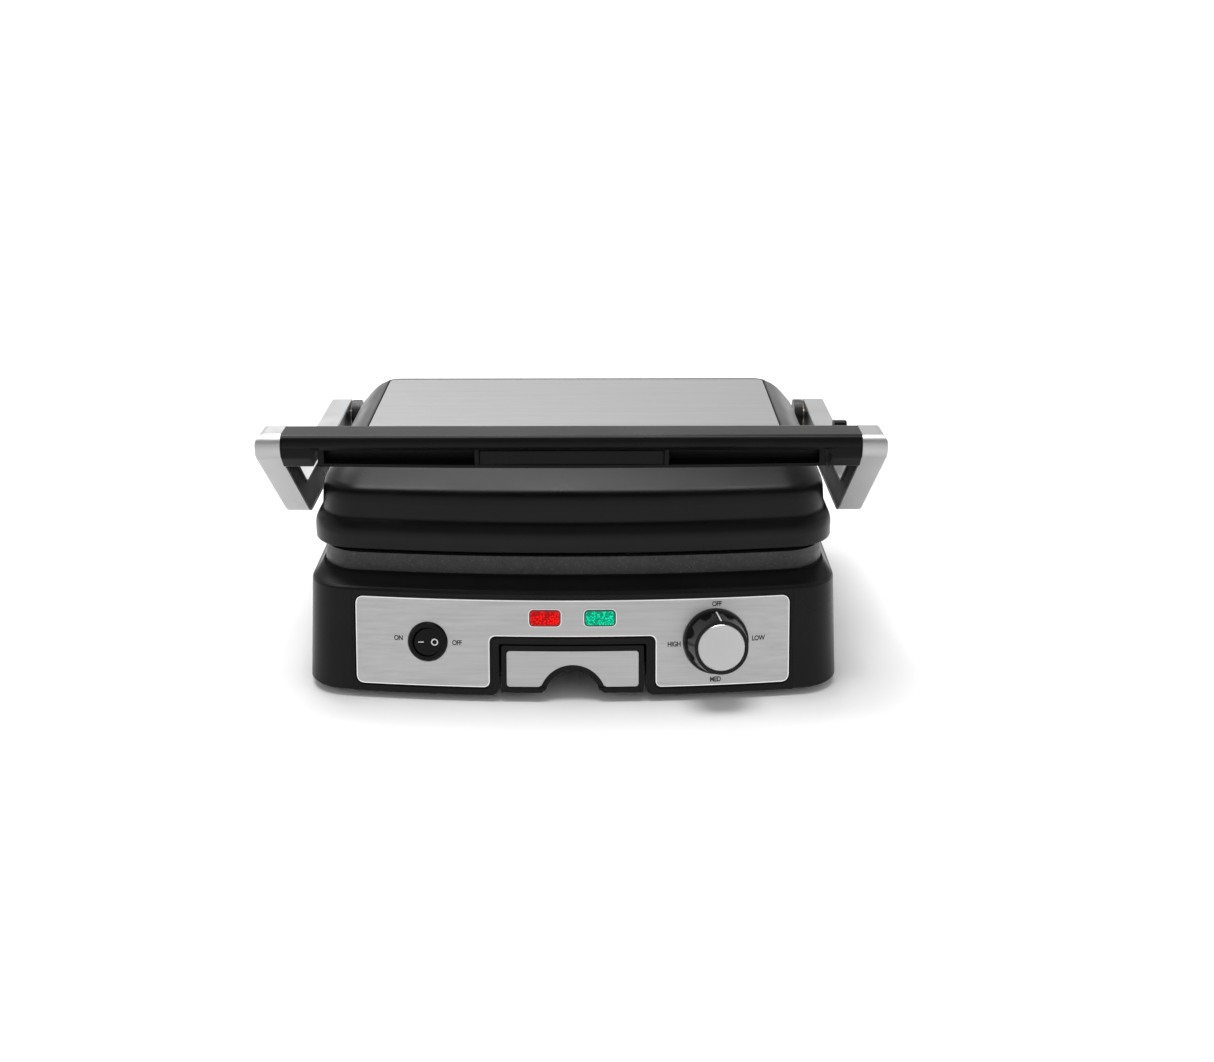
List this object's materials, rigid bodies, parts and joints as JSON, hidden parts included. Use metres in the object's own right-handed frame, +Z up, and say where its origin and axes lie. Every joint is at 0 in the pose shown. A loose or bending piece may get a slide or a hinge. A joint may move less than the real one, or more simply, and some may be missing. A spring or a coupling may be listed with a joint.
{
  "type": "panini press",
  "caption": "Contact grill with a floating hinged lid, ribbed plates, side arms with a full-width handle, front controls and a sliding drip tray.",
  "frame": {"origin": "centre of the footprint box, on the surface that the feet stand on", "axes": "+X to the user's right along the handle, +Y towards the rear hinge, +Z up"},
  "size_m": [0.347, 0.3041, 0.1484],
  "materials": {
    "black_shell": "fine satin moulding",
    "black_inner": "plain moulding",
    "foot_rubber": "matte",
    "screw_steel": "zinc plated",
    "brushed_panel": "brushed along x",
    "brushed_lid": "brushed along x",
    "red_lens": "patterned translucent",
    "green_lens": "patterned translucent",
    "lamp_glass": "clear",
    "switch_black": "gloss",
    "knob_black": "satin gloss",
    "spun_metal": "fine turned",
    "ceramic": "unglazed",
    "non_stick": "speckled non-stick coating",
    "heater_metal": "oxidised",
    "sheet_metal": "plain sheet",
    "bush_brass": "machined",
    "hinge_metal": "black powder coat",
    "handle_black": "satin moulding",
    "lid_black": "satin moulding",
    "satin_arm": "satin, brushed along the arm"
  },
  "bodies": {
    "base": {"base_housing": "black_shell", "bottom_cover": "black_inner", "feet": "foot_rubber", "bottom_screws": "screw_steel", "control_fascia": "black_shell", "control_panel": "brushed_panel", "red_lens": "red_lens", "green_lens": "green_lens", "neon_lamps": "lamp_glass", "switch_body": "switch_black", "thermostat_body": "ceramic", "tray_rails": "black_inner", "lower_grill_plate": "non_stick", "lower_heater": "heater_metal", "lower_reflector": "sheet_metal", "lower_thermal_fuse": "ceramic", "lower_plate_screws": "screw_steel", "terminal_block": "ceramic", "cord_gland": "foot_rubber", "hinge_bracket_left": "hinge_metal", "hinge_bracket_right": "hinge_metal", "bracket_screws": "screw_steel", "hinge_pins": "screw_steel"},
    "tray": {"drip_tray": "black_shell", "tray_front_plate": "brushed_panel"},
    "knob": {"knob": "knob_black", "knob_cap": "spun_metal", "thermostat_shaft": "screw_steel"},
    "rocker": {"rocker_button": "switch_black"},
    "arms": {"arm_left": "satin_arm", "arm_right": "satin_arm", "arm_liner_left": "handle_black", "arm_liner_right": "handle_black", "handle_bar": "handle_black", "grip_underside": "handle_black", "handle_screws": "screw_steel", "hinge_bushes": "bush_brass", "lever_pin": "screw_steel", "lever_spring": "screw_steel"},
    "lever": {"release_lever": "handle_black"},
    "pivots": {"lid_pivot_pins": "screw_steel"},
    "lid": {"lid_housing": "lid_black", "lid_top_plate": "brushed_lid", "upper_grill_plate": "non_stick", "upper_heater": "heater_metal", "upper_reflector": "sheet_metal", "upper_thermal_fuse": "ceramic", "upper_plate_screws": "screw_steel", "lid_pivot_bosses": "black_inner"}
  },
  "joints": [
    {"name": "arm_hinge", "type": "hinge", "parent": "base", "child": "arms", "pos_m": [0, 0.14053, 0.0885], "axis": [-1, 0, 0], "range_deg": [0, 180]},
    {"name": "lid_float", "type": "slide", "parent": "arms", "child": "pivots", "axis": [0, 0, 1], "range_m": [0, 0.006]},
    {"name": "lid_tilt", "type": "hinge", "parent": "pivots", "child": "lid", "pos_m": [0, 0.05553, 0.0855], "axis": [-1, 0, 0], "range_deg": [0, 3]},
    {"name": "tray_slide", "type": "slide", "parent": "base", "child": "tray", "axis": [0, -1, 0], "range_m": [0, 0.13]},
    {"name": "knob_turn", "type": "hinge", "parent": "base", "child": "knob", "pos_m": [0.0805, -0.12907, 0.0327], "axis": [-0.0871, 0.9694, -0.2296], "range_deg": [0, 270]},
    {"name": "rocker_rock", "type": "hinge", "parent": "base", "child": "rocker", "pos_m": [-0.08132, -0.12704, 0.03224], "axis": [-0.0208, -0.2286, -0.9733], "range_deg": [0, 16]},
    {"name": "lever_release", "type": "hinge", "parent": "arms", "child": "lever", "pos_m": [0.1665, 0.01653, 0.0875], "axis": [-1, 0, 0], "range_deg": [0, 15], "stiffness_Nm_per_rad": 0.3, "springref_deg": -11.46}
  ]
}
